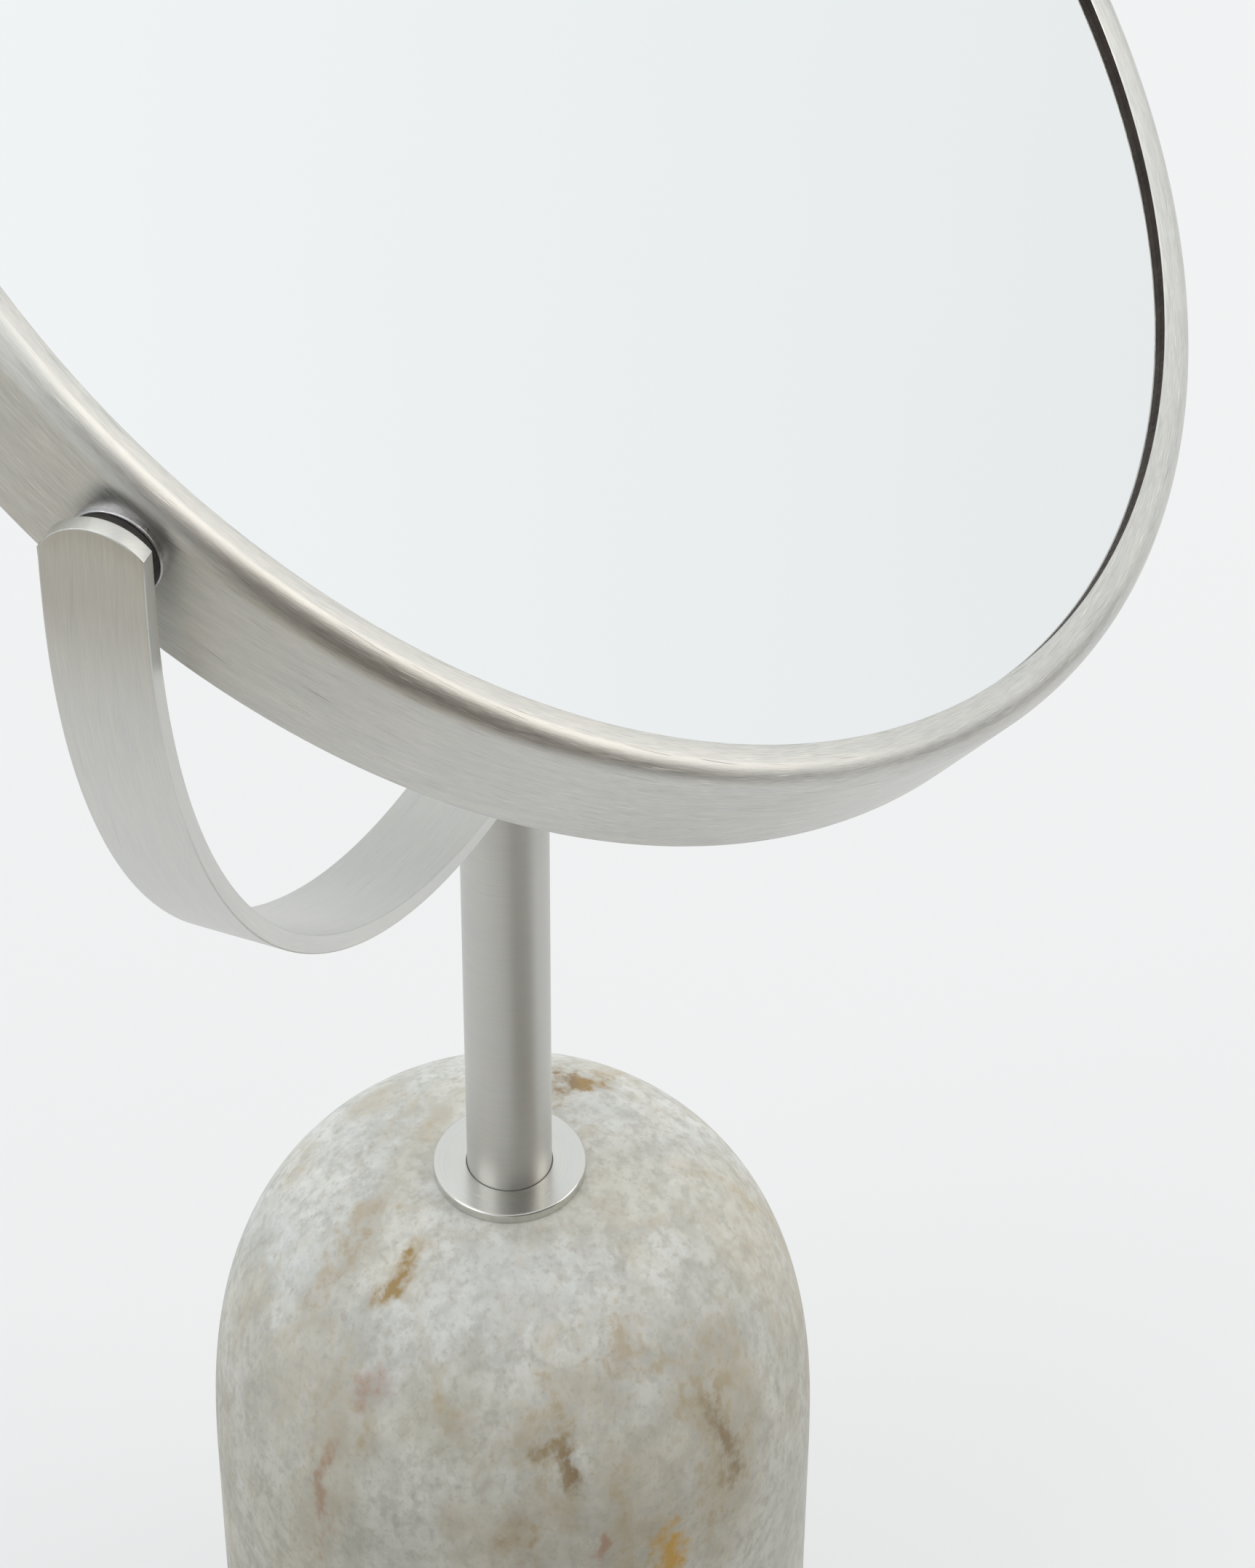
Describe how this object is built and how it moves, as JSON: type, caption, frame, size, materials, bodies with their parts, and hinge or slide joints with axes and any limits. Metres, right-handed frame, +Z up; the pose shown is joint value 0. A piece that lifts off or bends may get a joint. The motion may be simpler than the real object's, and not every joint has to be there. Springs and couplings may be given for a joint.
{
  "type": "extendable shaving mirror",
  "caption": "Round double-sided mirror head tilting in a U-shaped steel yoke, on a round post that slides and turns in a domed stone base.",
  "frame": {"origin": "centre of the foot pad's underside, on the post's axis", "axes": "+Z up along the post; X along the head's pivot axis; the front mirror faces -Y and up"},
  "size_m": [0.2118, 0.1653, 0.3804],
  "materials": {
    "stone": "honed",
    "steel_brushed": "brushed",
    "steel_plain": "satin",
    "mirror_glass": "polished",
    "dark_fibre": "matte",
    "seal": "matte",
    "rubber": "matte",
    "acetal": "satin",
    "black_plastic": "matte",
    "foam": "foam",
    "brass": "machined"
  },
  "bodies": {
    "base": {"stone_base": "stone", "collar_flange": "steel_brushed", "guide_sleeve": "steel_plain", "upper_bush": "acetal", "friction_ring": "rubber", "clamp_washer": "steel_plain", "sleeve_nut": "brass", "sleeve_plug": "black_plastic", "base_plate": "steel_plain", "plate_screws": "steel_plain", "threaded_inserts": "brass", "foot_pad": "rubber"},
    "glide": {"glide_bush": "acetal"},
    "post": {"post_tube": "steel_brushed", "post_end_plug": "black_plastic", "retaining_rings": "steel_plain", "yoke": "steel_brushed", "pivot_studs": "steel_plain", "friction_washers": "dark_fibre", "spring_washers": "steel_plain", "lock_nuts": "steel_plain"},
    "head": {"mirror_rim": "steel_brushed", "pivot_ferrules": "steel_plain", "front_glass": "mirror_glass", "front_seal": "seal", "spacer_ring": "foam", "rear_glass": "mirror_glass", "rear_seal": "seal", "rear_bezel": "steel_brushed"}
  },
  "joints": [
    {"name": "height_slide", "type": "slide", "parent": "base", "child": "glide", "axis": [0, 0, 1], "range_m": [-0.065, 0]},
    {"name": "post_swivel", "type": "hinge", "parent": "glide", "child": "post", "pos_m": [0, 0, 0.12], "axis": [0, 0, 1], "continuous": true},
    {"name": "mirror_tilt", "type": "hinge", "parent": "post", "child": "head", "pos_m": [0, 0, 0.3125], "axis": [1, 0, 0], "continuous": true}
  ]
}
